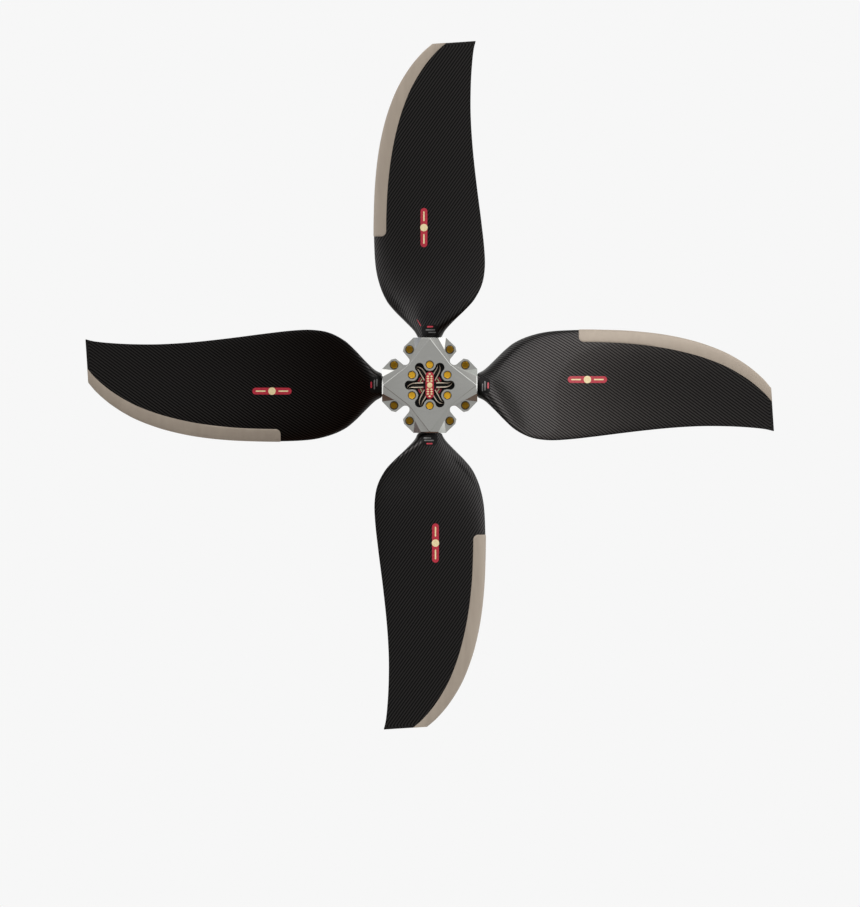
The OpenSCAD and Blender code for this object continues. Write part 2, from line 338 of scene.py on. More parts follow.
def yellow_zinc(name, dark, light, metallic):
    m = Nodes(name)
    cloud = m.noise(120, 3)
    m.set(Base_Color=m.ramp(cloud, [(0.3, dark), (0.7, light)]), Metallic=metallic,
          Roughness=m.scaled(m.noise(700, 2), 0.28, 0.42))
    m.bump(m.noise(1500, 2), 0.05, 0.0002)
    return m.material


def black_plastic(name, dark, light, roughness, shine):
    m = Nodes(name)
    m.set(Base_Color=m.ramp(m.noise(60), [(0.2, dark), (0.8, light)]), Specular_IOR_Level=shine,
          Roughness=m.scaled(m.noise(300), roughness - 0.04, roughness + 0.04))
    return m.material


# Metal strip on the cap's arm crests; its pale tan colour is a painted highlight along the rims.
def tan_trim_with_painted_highlight():
    m = Nodes("tan_trim_painted_highlight")
    m.set(Base_Color=m.ramp(m.noise(90), [(0.2, (0.62, 0.52, 0.42)), (0.8, (0.8, 0.7, 0.58))]),
          Metallic=0.8, Roughness=m.scaled(m.noise(500), 0.26, 0.36))
    return m.material


def enamel(name, dark, light):
    m = Nodes(name)
    m.set(Base_Color=m.ramp(m.noise(160), [(0.25, dark), (0.75, light)]),
          Roughness=m.scaled(m.noise(400), 0.28, 0.38))
    return m.material


def guard_nickel():
    m = Nodes("guard_nickel")
    streak = m.noise(60, 3, stretch=(1, 1, 0.15))
    grain = m.noise(1600, 2)
    m.set(Base_Color=m.ramp(streak, [(0.2, (0.345, 0.29, 0.238)), (0.8, (0.4, 0.34, 0.279))]),
          Metallic=0.25, Roughness=m.scaled(streak, 0.5, 0.62), Coat_Weight=0.15, Coat_Roughness=0.2)
    m.bump(grain, 0.08, 0.0002)
    return m.material


def steel():
    m = Nodes("ground_steel")
    m.set(Base_Color=m.ramp(m.noise(200), [(0.2, (0.4, 0.4, 0.4)), (0.8, (0.5, 0.5, 0.5))]),
          Metallic=1.0, Roughness=m.scaled(m.noise(900), 0.25, 0.35))
    return m.material


def foam():
    m = Nodes("foam_core")
    cells = m.add("ShaderNodeTexVoronoi", {"Scale": 600.0}).outputs["Distance"]
    m.set(Base_Color=m.ramp(cells, [(0.1, (0.62, 0.5, 0.3)), (0.7, (0.78, 0.68, 0.46))]),
          Roughness=0.9)
    m.bump(cells, 0.3, 0.0005)
    return m.material


# Two-by-two twill cloth under clear resin
TOW = 2.72 * MM
DIAGONAL = math.radians(36)


def carbon_twill():
    m = Nodes("carbon_twill")
    uv = m.add("ShaderNodeTexCoord").outputs["UV"]
    wobble = m.add("ShaderNodeVectorMath",
                   {0: m.add("ShaderNodeTexNoise", {"Vector": uv, "Scale": 5.0}).outputs["Color"],
                    "Scale": 0.0025}, operation="SCALE").outputs[0]
    cloth = m.add("ShaderNodeVectorMath", {0: uv, 1: wobble}, operation="ADD").outputs[0]
    parts = m.add("ShaderNodeSeparateXYZ", {0: cloth})
    across, along = parts.outputs["X"], parts.outputs["Y"]

    def tow_place(angle):
        a = m.math("MULTIPLY", across, math.sin(angle) / TOW)
        return m.math("MULTIPLY_ADD", along, math.cos(angle) / TOW, a)

    warp = tow_place(DIAGONAL + math.pi / 4)
    weft = tow_place(DIAGONAL - math.pi / 4)
    step = m.math("SUBTRACT", m.math("FLOOR", warp), m.math("FLOOR", weft))
    over = m.math("LESS_THAN", m.math("FLOORED_MODULO", step, 4.0), 2.0)

    def tow_round(place):
        centred = m.math("MULTIPLY_ADD", m.math("FRACT", place), 2.0, -1.0)
        return m.math("SUBTRACT", 1.0, m.math("MULTIPLY", centred, centred))

    warp_height = m.math("MULTIPLY", tow_round(warp), over)
    under = m.math("SUBTRACT", 1.0, over)
    height = m.math("MULTIPLY_ADD", tow_round(weft), under, warp_height)
    filament = m.noise(2500, 2, coordinates=cloth)
    tone = m.math("MULTIPLY_ADD", filament, 0.12, m.math("MULTIPLY", over, 0.8))
    m.set(Base_Color=m.ramp(tone, [(0.0, (0.0035, 0.0032, 0.0033)), (0.9, (0.044, 0.0415, 0.041))]),
          Metallic=1.0, Roughness=m.scaled(over, 0.36, 0.3), Coat_Weight=0.1, Coat_Roughness=0.06)
    m.bump(height, 0.12, 0.0004)
    return m.material


ALUMINIUM = machined_aluminium()
ZINC_BRIGHT = yellow_zinc("yellow_zinc", (0.68, 0.36, 0.012), (0.84, 0.47, 0.024), 0.5)
# Darker copy of the same yellow zinc for the clamp bolts and lock nuts; its darkness is painted shade.
ZINC_PAINTED_SHADE = yellow_zinc("yellow_zinc_painted_shade", (0.22, 0.115, 0.008), (0.31, 0.165, 0.013), 1.0)
# Near-black olive zinc for the washers: a painted shadow ring round the bolt heads.
ZINC_PAINTED_SHADOW_RING = yellow_zinc("zinc_painted_shadow_ring", (0.09, 0.075, 0.05), (0.13, 0.11, 0.075), 1.0)
BLACK = black_plastic("black_plastic", (0.003, 0.0028, 0.0028), (0.006, 0.0055, 0.0055), 0.45, 0.12)
GLOSS = black_plastic("black_gloss_plastic", (0.006, 0.005, 0.005), (0.012, 0.01, 0.009), 0.16, 0.5)
TRIM_AND_PAINTED_HIGHLIGHT = tan_trim_with_painted_highlight()
RED = enamel("red_enamel", (0.36, 0.012, 0.03), (0.5, 0.02, 0.045))
CREAM = enamel("cream_enamel", (0.72, 0.58, 0.3), (0.85, 0.74, 0.45))
GREY = enamel("grey_ink", (0.08, 0.08, 0.08), (0.14, 0.14, 0.14))
NYLON = enamel("nylon", (0.5, 0.5, 0.46), (0.62, 0.62, 0.58))
NICKEL = guard_nickel()
STEEL = steel()
FOAM = foam()
CARBON = carbon_twill()



def paint(node, material):
    """Material of a CAD node that no piece replaces."""
    mesh = NODES[node].data
    mesh.materials.clear()
    mesh.materials.append(material)


paint("hub_dowel_pins", STEEL)
for number in BLADES:
    paint(f"root_ferrule_{number}", ALUMINIUM)
    paint(f"root_plug_{number}", ALUMINIUM)


# ---------------------------------------------------------------- hub and washers: edges broken
HUB_EDGE = 0.4 * MM
WASHER_EDGE = 0.3 * MM
SHARP_OVER = 25


def softened(node, name, width, material, slot):
    """Copy of a CAD node with its sharp edges bevelled. It stands for the node."""
    mesh = NODES[node].data.copy()
    mesh.name = name
    piece = bpy.data.objects.new(name, mesh)
    bpy.context.scene.collection.objects.link(piece)
    work = bmesh.new()
    work.from_mesh(mesh)
    bmesh.ops.remove_doubles(work, verts=work.verts, dist=1e-6)
    bmesh.ops.dissolve_limit(work, angle_limit=math.radians(1), verts=work.verts, edges=work.edges)
    work.to_mesh(mesh)
    work.free()
    finish_piece(piece, "hub", slot, material, flat_over=SHARP_OVER)
    bevel = piece.modifiers.new("edges", "BEVEL")
    bevel.width = width
    bevel.segments = 2
    bevel.limit_method = "ANGLE"
    bevel.angle_limit = math.radians(SHARP_OVER)
    bevel.use_clamp_overlap = True
    bevel.harden_normals = True
    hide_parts(node)


softened("hub_front_half", "hub_front", HUB_EDGE, ALUMINIUM, "machined_aluminium")
softened("hub_rear_half", "hub_rear", HUB_EDGE, ALUMINIUM, "machined_aluminium")
# The washers' near-black colour is painted shadow round the bolt heads.
for cad_node, piece_name in (("clamp_washers_front", "front_washers"),
                             ("clamp_washers_rear", "rear_washers"),
                             ("flange_washers", "flange_bolt_washers")):
    softened(cad_node, piece_name, WASHER_EDGE, ZINC_PAINTED_SHADOW_RING, "yellow_zinc")


# ---------------------------------------------------------------- bolts and nuts
HEX_AF = 19.05
HEX_POINTS = 48
THREAD_PITCH = 1.95
THREAD_DEPTH = 0.55
CLAMP_AT = (59.5, 105.2)


def hex_radius(angle):
    return HEX_AF / 2 / math.cos((angle + math.pi / 6) % (math.pi / 3) - math.pi / 6)


def hex_rings(low, high, chamfer_low, chamfer_high):
    """Rings of a hexagonal head from low to high, its corners turned off where asked."""
    circle = HEX_AF / 2 * 0.97

    def ring(z, inward, chamfer):
        points = []
        for k in range(HEX_POINTS):
            angle = 2 * math.pi * k / HEX_POINTS
            r = hex_radius(angle)
            drop = (r - circle) * math.tan(math.radians(30)) if chamfer else 0.0
            points.append((r * math.cos(angle), r * math.sin(angle), z + inward * drop))
        return points

    rings = []
    if chamfer_low:
        rings += revolve([(circle, low)], HEX_POINTS)
    rings.append(ring(low, 1, chamfer_low))
    rings.append(ring(high, -1, chamfer_high))
    if chamfer_high:
        rings += revolve([(circle, high)], HEX_POINTS)
    return rings


def thread_rings(low, high):
    """Rings of a screw thread from high down to low, with a chamfered end."""
    rings = []
    for z in span(high, low, -THREAD_PITCH / 5):
        end = min((z - low) / 1.2, 1.0)
        ring = []
        for k in range(HEX_POINTS):
            angle = 2 * math.pi * k / HEX_POINTS
            wave = abs(((z / THREAD_PITCH - k / HEX_POINTS) % 1) * 2 - 1)
            r = BOLT_R / MM - THREAD_DEPTH * (1 - wave) - (1 - end)
            ring.append((r * math.cos(angle), r * math.sin(angle), z))
        rings.append(ring)
    return rings


def screw(head_low, head_h, thread_from, end):
    """Points and faces of one bolt: thread, shank and chamfered head with a washer face."""
    shank_r = BOLT_R / MM
    rings = list(reversed(thread_rings(end, thread_from)))
    rings += revolve([(shank_r, thread_from + 0.2), (shank_r, head_low)], HEX_POINTS)
    face_r = HEX_AF / 2
    top = head_low + head_h
    rings += revolve([(face_r * 0.95, head_low), (face_r * 0.95, head_low + 0.4)], HEX_POINTS)
    rings += hex_rings(head_low + 0.4, top, False, True)
    rings += revolve([(face_r * 0.9, top), (face_r * 0.84, top - 0.35), (face_r * 0.2, top - 0.35)],
                     HEX_POINTS)
    return loft(rings)


def scattered(points, faces, places):
    """Copies of one part at (x, y, turn) places, joined."""
    all_points, all_faces = [], []
    for x, y, turn in places:
        base = len(all_points)
        c, s = math.cos(turn), math.sin(turn)
        all_points += [to_frame((px * c - py * s + x, px * s + py * c + y, pz)) for px, py, pz in points]
        all_faces += [tuple(base + i for i in face) for face in faces]
    return all_points, all_faces


def clamp_places():
    places = []
    for i in range(4):
        for side in (1, -1):
            x, y = CLAMP_AT[0] * side, CLAMP_AT[1]
            turn = math.pi / 2 * i
            places.append((x * math.cos(turn) - y * math.sin(turn), x * math.sin(turn) + y * math.cos(turn),
                           0.35 * i + 0.5 * side))
    return places


def flange_places():
    angles = [math.radians(30 + 60 * i) for i in range(6)]
    return [(FLANGE_R / MM * math.cos(a), FLANGE_R / MM * math.sin(a), 0.4 * i)
            for i, a in enumerate(angles)]


def heights(node):
    """Lowest and highest place of a node above the parting plane, in millimetres."""
    low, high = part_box(node)
    return (PARTING_Y - high[1]) / MM, (PARTING_Y - low[1]) / MM


HEAD_H = 8
CLAMP_THREAD = 22
FLANGE_THREAD = 40
NUT_COLLAR = 3


def bolts_and_nuts():
    # The clamp bolts take the darker copy of the zinc, whose darkness is painted shade; the flange bolts
    # take the plain zinc.
    for node, name, thread, places, material in (
            ("clamp_bolts", "clamp_bolt_set", CLAMP_THREAD, clamp_places(), ZINC_PAINTED_SHADE),
            ("flange_bolts", "flange_bolt_set", FLANGE_THREAD, flange_places(), ZINC_BRIGHT)):
        low, high = heights(node)
        points, faces = scattered(*screw(high - HEAD_H, HEAD_H, low + thread, low), places)
        bolts = make_piece(name, points, faces, "hub", "yellow_zinc", material, flat_over=25)
        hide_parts(node)

    low, high = heights("clamp_lock_nuts")
    bore = BOLT_R / MM
    rings = revolve([(bore + 0.05, high), (HEX_AF / 2 * 0.93, high)], HEX_POINTS)
    rings += list(reversed(hex_rings(low + NUT_COLLAR, high, True, True)))
    rings += revolve([(8.6, low + NUT_COLLAR), (8.6, low + 1), (8.2, low + 0.3), (7.6, low),
                      (7.3, low + 0.2), (7.3, low + 1.4), (bore + 0.05, low + 1.4)], HEX_POINTS)
    # The lock nuts take the darker zinc copy too: painted shade.
    nuts = make_piece("lock_nut_set", *scattered(*closed_loft(rings), clamp_places()), "hub",
                      "yellow_zinc", ZINC_PAINTED_SHADE, flat_over=25)
    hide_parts("clamp_lock_nuts")
    profile = [(bore + 0.1, low + 0.5), (7.25, low + 0.3), (7.25, low + 1.3), (bore + 0.1, low + 1.3)]
    rings = revolve(profile, HEX_POINTS)
    make_piece("lock_nut_inserts", *scattered(*closed_loft(rings), clamp_places()), "hub",
               "yellow_zinc", NYLON, flat_over=30)


bolts_and_nuts()


# ---------------------------------------------------------------- centre cap and badge
CAP_BASE_T = 3
ARM_PATH = [(8, 0), (20, 0), (32, 0.2), (42, 0.4), (50, 0.8), (56, 2.2), (61, 5), (64.5, 8.5), (66.5, 11)]
ARM_HALF_W = [(0, 8.5), (30, 8.6), (45, 8.2), (56, 6.4), (63, 4.0), (67, 1.2)]
# Across an arm: share of its half width, height above the cap's base plate
ARM_PROFILE = [(-1.0, -0.5), (-0.99, 4.5), (-0.95, 8.0), (-0.86, 10.2), (-0.72, 11.0), (-0.58, 10.2),
               (-0.46, 8.0), (-0.34, 4.6), (-0.18, 2.8), (0.0, 2.3), (0.18, 2.8), (0.34, 4.6),
               (0.46, 8.0), (0.58, 10.2), (0.72, 11.0), (0.86, 10.2), (0.95, 8.0), (0.99, 4.5), (1.0, -0.5)]
TRIM_PROFILE = [(0.5, 8.6), (0.56, 10.2), (0.64, 11.2), (0.74, 11.5), (0.84, 11.2), (0.93, 10.0),
                (0.985, 8.2), (0.9, 7.6), (0.56, 7.6)]
POCKET_R = 45
LOBE_R = 14
LOBE_AT = 60
BOSS_R = 17.6
CAP_GAP = 0.5


def path_point(path, u):
    """Point at share u along a smooth path."""
    xs = [(i, p[0]) for i, p in enumerate(path)]
    ys = [(i, p[1]) for i, p in enumerate(path)]
    t = u * (len(path) - 1)
    return curve(xs, t), curve(ys, t)


def arm_station(u):
    """Returns a function from (share of half width, height) to a point across the arm at share u."""
    base = CAP_FLOOR / MM + CAP_BASE_T
    x, y = path_point(ARM_PATH, u)
    x2, y2 = path_point(ARM_PATH, min(u + 0.01, 1))
    x1, y1 = path_point(ARM_PATH, max(u - 0.01, 0))
    length = math.hypot(x2 - x1, y2 - y1)
    across = (-(y2 - y1) / length, (x2 - x1) / length)
    half = curve(ARM_HALF_W, math.hypot(x, y))
    rise = 0.45 + 0.55 * smooth(half / 6)

    def point(share, height):
        return (x + across[0] * half * share, y + across[1] * half * share,
                base + (height * rise if height > 0 else height))

    return point


def cap_arm_rings():
    stations = [arm_station(u) for u in span(0, 1, 1 / 40)]
    return [[point(share, height) for share, height in ARM_PROFILE] for point in stations]


def cap_trim_rings(side):
    """Rings of the metal strip along the crest on one side of an arm; its pale tan colour is a painted
    highlight.
    """
    stations = [arm_station(u) for u in span(0.12, 1, 1 / 36)]
    return [[point(side * share, height) for share, height in TRIM_PROFILE] for point in stations]


def pocket_outline(gap, count=360):
    """Radius of the pocket's outline in every direction, drawn in by gap."""
    radii = []
    for k in range(count):
        angle = 2 * math.pi * k / count
        lobe = (angle + math.pi / 6) % (math.pi / 3) - math.pi / 6
        boss = (angle % (math.pi / 3)) - math.pi / 6
        side = abs(math.sin(lobe)) or 1e-9
        reach = POCKET_R - gap
        along = (LOBE_R - gap) / side
        if along * math.cos(lobe) < LOBE_AT:
            reach = max(reach, along)
        else:
            root = (LOBE_R - gap) ** 2 - (LOBE_AT * math.sin(lobe)) ** 2
            reach = max(reach, LOBE_AT * math.cos(lobe) + math.sqrt(max(root, 0)))
        centre = FLANGE_R / MM
        root = (BOSS_R + gap) ** 2 - (centre * math.sin(boss)) ** 2
        if root > 0:
            reach = min(reach, centre * math.cos(boss) - math.sqrt(root))
        radii.append(reach)
    return radii


def centre_cap():
    base = CAP_FLOOR / MM
    radii = pocket_outline(CAP_GAP)
    n = len(radii)

    def level(z, draw_in):
        turns = [2 * math.pi * k / n for k in range(n)]
        return [((r - draw_in) * math.cos(a), (r - draw_in) * math.sin(a), z) for r, a in zip(radii, turns)]

    points, faces = loft([level(base, 0), level(base + CAP_BASE_T - 0.6, 0), level(base + CAP_BASE_T, 0.6)])
    plate = make_piece("cap_plate", [to_frame(p) for p in points], faces, "hub", "black_plastic", BLACK,
                       flat_over=30)
    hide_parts("centre_cap")
    points, faces = loft(cap_arm_rings())
    places = [(0, 0, math.pi / 3 * i) for i in range(6)]
    make_piece("cap_arms", *scattered(points, faces, places), "hub", "black_plastic", GLOSS, flat_over=50)
    # The crest strips carry the pale tan painted highlight.
    for side, name in ((-1, "cap_trim_highlight_right"), (1, "cap_trim_highlight_left")):
        points, faces = loft(cap_trim_rings(side))
        make_piece(name, *scattered(points, faces, places), "hub", "guard_nickel", TRIM_AND_PAINTED_HIGHLIGHT, flat_over=50)


def capsule_outline(length, width, count=12):
    """Outline of an upright bar with round ends."""
    r = width / 2
    points = []
    for sign in (1, -1):
        for k in range(count + 1):
            a = math.pi * k / count
            points.append((sign * r * math.cos(a), sign * (length / 2 - r + r * math.sin(a))))
    return points


def plate(name, outline, low, high, edge, slot, material, places=((0, 0, 0),)):
    """Flat plate with a rounded upper edge."""
    rings = []
    for draw_in, z in ((0, low), (0, high - edge), (edge * 0.3, high - edge * 0.3), (edge, high)):
        ring = []
        n = len(outline)
        for k, (x, y) in enumerate(outline):
            ax, ay = outline[k - 1]
            bx, by = outline[(k + 1) % n]
            length = math.hypot(bx - ax, by - ay)
            ring.append((x - (by - ay) / length * draw_in, y + (bx - ax) / length * draw_in, z))
        rings.append(ring)
    points, faces = loft(rings)
    return make_piece(name, *scattered(points, faces, places), "hub", slot, material, flat_over=35)


def wedge_outline(inner, outer, half_angle, count=8):
    angles = [math.radians(half_angle * (2 * k / count - 1)) for k in range(count + 1)]
    points = [(outer * math.cos(a), outer * math.sin(a)) for a in angles]
    return points + [(inner * math.cos(a), inner * math.sin(a)) for a in reversed(angles)]


def badge():
    """Generic badge: a red bar with cream lozenges and a disc, and striped fields between the arms."""
    low, high = heights("cap_badge")
    face = plate("badge_bar", capsule_outline(80, 24), low, high, 0.8, "badge_enamel", RED)
    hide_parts("cap_badge")
    lozenge = [(0, -3.2), (4.4, 0), (0, 3.2), (-4.4, 0)]
    places = [(x, y, 0) for y in (-33, -26, -19, -12, 12, 19, 26, 33) for x in (-5.2, 5.2) if abs(y) < 30]
    places += [(0, y, 0) for y in (-33, 33)]
    plate("badge_pips", lozenge, high - 0.2, high + 0.5, 0.2, "badge_enamel", CREAM, places)
    ring = [(8 * math.cos(a), 8 * math.sin(a)) for a in (2 * math.pi * k / 36 for k in range(36))]
    plate("badge_disc", ring, high - 0.2, high + 0.8, 0.5, "badge_enamel", CREAM)
    base = CAP_FLOOR / MM + CAP_BASE_T
    gaps = [(0, 0, math.radians(a)) for a in (30, 150, 210, 330)]
    for name, inner, outer, half_angle, material in (
            ("badge_field_red", 20, 26, 9, RED), ("badge_field_cream", 27.5, 31, 11, CREAM),
            ("badge_field_outer", 32.5, 37, 12, RED)):
        plate(name, wedge_outline(inner, outer, half_angle), base - 0.1, base + 0.5, 0.15, "badge_enamel",
              material, gaps)


centre_cap()
badge()


# ---------------------------------------------------------------- blades
RING_POINTS = 96


def circle_ring(r, y):
    return [(-r * math.cos(2 * math.pi * k / RING_POINTS), y, r * math.sin(2 * math.pi * k / RING_POINTS))
            for k in range(RING_POINTS)]


def section_ring(r, inset=0.0, shrink=0.0):
    return [section_point(r, 2 * math.pi * k / RING_POINTS, inset, shrink) for k in range(RING_POINTS)]


def cavity_rings():
    stations = span(CORE_FROM, AEROFOIL_FROM, 12) + span(AEROFOIL_FROM + 30, CORE_END, 30)
    return [section_ring(r, curve(LAMINATE, r)) for r in stations]


def skin_rings():
    inner = [circle_ring(BORE_R, ROOT_START), circle_ring(BORE_R, PLUG_END)] + cavity_rings()
    outer = [circle_ring(TENON_R, ROOT_START), circle_ring(TENON_R, FERRULE_END),
             circle_ring(SHANK_R, FERRULE_END)]
    stations = span(SHANK_END, 330, 4) + span(338, 870, 8) + span(874, TIP_R - TIP_ROUNDING, 4)
    outer += [section_ring(r) for r in stations]
    for u in (0.35, 0.7, 0.9, 1.0):
        r = TIP_R - TIP_ROUNDING * (1 - u)
        outer.append(section_ring(r, shrink=2.2 * (1 - math.sqrt(1 - 0.96 * u * u))))
    return list(reversed(inner)) + outer


def ring_uv(ring):
    """Distance round a ring from the blade's pitch axis, in metres, on its front and back."""
    n = len(ring)
    half = n // 2
    arcs = [0.0]
    for k in range(half):
        arcs.append(arcs[-1] + math.dist(ring[k], ring[k + 1]))
    after = next(k for k in range(1, half + 1) if ring[k][0] >= 0)
    share = ring[after - 1][0] / (ring[after - 1][0] - ring[after][0])
    axis = arcs[after - 1] + share * (arcs[after] - arcs[after - 1])
    back = [0.0]
    for k in range(half):
        back.append(back[-1] + math.dist(ring[-k % n], ring[-(k + 1) % n]))
    front_side = [(a - axis) * MM for a in arcs]
    back_side = [(-a - axis) * MM for a in back]
    return front_side, back_side


def skin_uvs(rings, faces):
    n = len(rings[0])
    half = n // 2
    tables = [ring_uv(ring) for ring in rings]
    uvs = []
    for face in faces:
        if len(face) > 4:
            uvs += [(0.0, 0.0)] * len(face)
            continue
        columns = [i % n for i in face]
        is_front = max(columns) <= half and not (0 in columns and n - 1 in columns)
        for i in face:
            ring, k = divmod(i, n)
            front_side, back_side = tables[ring]
            u = front_side[k] if is_front else back_side[(n - k) % n]
            uvs.append((u, rings[ring][k][1] * MM))
    return uvs


def guard_width(r):
    d = GUARD_CORNER - min(r - GUARD_START, GUARD_CORNER)
    grown = GUARD_W + GUARD_GROWTH * smooth((r - 480) / 320)
    return grown - GUARD_CORNER + math.sqrt(GUARD_CORNER ** 2 - d * d)


def guard_rings():
    corner = [GUARD_START + GUARD_CORNER * (1 - math.cos(math.pi / 2 * k / 10)) for k in range(11)]
    stations = corner + span(465, 870, 8) + span(874, TIP_R, 4)
    steps = [-1 + 2 * k / 40 for k in range(41)]
    rings = []
    for r in stations:
        b, half, _, _, chord = section_shape(r)
        lean = GUARD_LEAN * half * math.sin(b)
        reach = math.acos(1 - (guard_width(r) + lean) / math.cos(b) / chord)
        end = smooth((r - GUARD_START) / 3)
        lift = [GUARD_GAP + GUARD_T * end * (1 - abs(u) ** 12) for u in steps]
        outer = [section_point(r, u * reach, -rise) for u, rise in zip(steps, lift)]
        inner = [section_point(r, -u * reach, -GUARD_SEAT) for u in steps]
        rings.append(outer + inner)
    return rings


def blade(number, skin, core, guard):
    turn = blade_turn(number)
    body = f"blade_{number}"
    for part, node, (points, faces, uvs), slot, material in (
            ("core", "blade_core", core, "foam_core", FOAM),
            ("skin", "blade_skin", skin, "carbon_laminate", CARBON),
            ("guard", "leading_edge_guard", guard, "guard_nickel", NICKEL)):
        piece = make_piece(f"{body}_{part}", [to_frame(p, turn) for p in points], faces, body, slot,
                           material, uvs, flat_over=50)
        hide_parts(f"{node}_{number}")


def surface_patch(name, number, rows, thickness, lift, slot, material):
    """Thin patch on the blade's front. rows is a list of (r, left x, right x) across the blade."""
    turn = blade_turn(number)
    columns = 12
    top, bottom = [], []
    for r, left, right in rows:
        for k in range(columns + 1):
            x = left + (right - left) * k / columns
            top.append(to_frame(front_point(r, x, lift + thickness), turn))
            bottom.append(to_frame(front_point(r, x, lift), turn))
    n = columns + 1
    count = len(rows) * n
    faces = []
    for i in range(len(rows) - 1):
        for k in range(columns):
            a = i * n + k
            faces.append((a, a + 1, a + n + 1, a + n))
            faces.append((count + a, count + a + n, count + a + n + 1, count + a + 1))
    rim = list(range(n)) + [i * n + columns for i in range(1, len(rows))]
    rim += [(len(rows) - 1) * n + k for k in range(columns - 1, -1, -1)]
    rim += [i * n for i in range(len(rows) - 2, 0, -1)]
    for a, b in zip(rim, rim[1:] + rim[:1]):
        faces.append((a, count + a, count + b, b))
    return make_piece(name, top + bottom, faces, f"blade_{number}", slot, material, flat_over=40)


def bar_rows(r0, r1, x0, x1, corner):
    """Rows of a bar with round corners."""
    rows = []
    middle, half = (x0 + x1) / 2, (x1 - x0) / 2
    steps = [corner * (1 - math.cos(math.pi / 2 * k / 6)) for k in range(7)]
    places = [r0 + s for s in steps] + [r0 + corner + (r1 - r0 - 2 * corner) * k / 8 for k in range(1, 8)]
    places += [r1 - s for s in reversed(steps)]
    for r in places:
        d = corner - min(r - r0, r1 - r, corner)
        w = half - corner + math.sqrt(max(corner ** 2 - d * d, 0))
        rows.append((r, middle - max(w, 0.05), middle + max(w, 0.05)))
    return rows


# Marks on each blade: name, rows, layer, slot and material
BASE_LAYER = (0.15, 0.05)
TOP_LAYER = (0.12, 0.22)
MARKS = [
    ("mark", bar_rows(408, 524, -27, -7, 9.9), BASE_LAYER, "badge_enamel", RED),
    ("mark_disc", bar_rows(455, 477, -28, -6, 10.9), TOP_LAYER, "badge_enamel", CREAM),
    ("mark_line_in", bar_rows(418, 447, -19, -15, 1.9), TOP_LAYER, "badge_enamel", CREAM),
    ("mark_line_out", bar_rows(485, 514, -19, -15, 1.9), TOP_LAYER, "badge_enamel", CREAM),
    ("label", bar_rows(142, 178, -23, 25, 12), BASE_LAYER, "black_plastic", BLACK),
    ("label_tab", bar_rows(170, 174.5, -8, 10, 2), TOP_LAYER, "badge_enamel", RED),
    ("label_line_a", bar_rows(161, 165, -12, 16, 1.9), TOP_LAYER, "black_plastic", GREY),
    ("label_line_b", bar_rows(154, 157.5, -4, 18, 1.6), TOP_LAYER, "black_plastic", GREY),
]
# Only blade 1 has the tick beside its label
TICK_ROWS = [(175, -27.5, -25), (184, -32.5, -30), (195, -38, -37)]
TICK_LAYER = (0.12, 0.05)


def blade_marks(number):
    """Plain generic marks: a red bar with a cream disc and lines, and a black root label."""
    for name, rows, layer, slot, material in MARKS:
        surface_patch(f"blade_{number}_{name}", number, rows, *layer, slot, material)
    if number == 1:
        surface_patch("blade_1_index_tick", number, TICK_ROWS, *TICK_LAYER, "badge_enamel", RED)


rings = skin_rings()
skin_points, skin_faces = loft(rings)
skin = (skin_points, skin_faces, skin_uvs(rings, skin_faces))
core = (*loft(cavity_rings()), None)
guard = (*loft(guard_rings()), None)
for number in BLADES:
    blade(number, skin, core, guard)
    blade_marks(number)


# ---------------------------------------------------------------- stage
FLOOR_Z = -1.9
BACKDROP = (0.93, 0.93, 0.93)


def floor():
    mesh = bpy.data.meshes.new("floor")
    size = 6.0
    depth = 2.2
    mesh.from_pydata([(-size, -depth, FLOOR_Z), (size, -depth, FLOOR_Z), (size, depth, FLOOR_Z),
                      (-size, depth, FLOOR_Z)], [], [(0, 1, 2, 3)])
    obj = bpy.data.objects.new("floor", mesh)
    bpy.context.scene.collection.objects.link(obj)
    m = Nodes("pale_floor")
    m.set(Base_Color=m.ramp(m.noise(3), [(0.3, (0.7, 0.7, 0.7)), (0.7, (0.72, 0.72, 0.72))]),
          Roughness=0.9)
    mesh.materials.append(m.material)
    obj.visible_glossy = False


def grey(value):
    return (value, value, value)


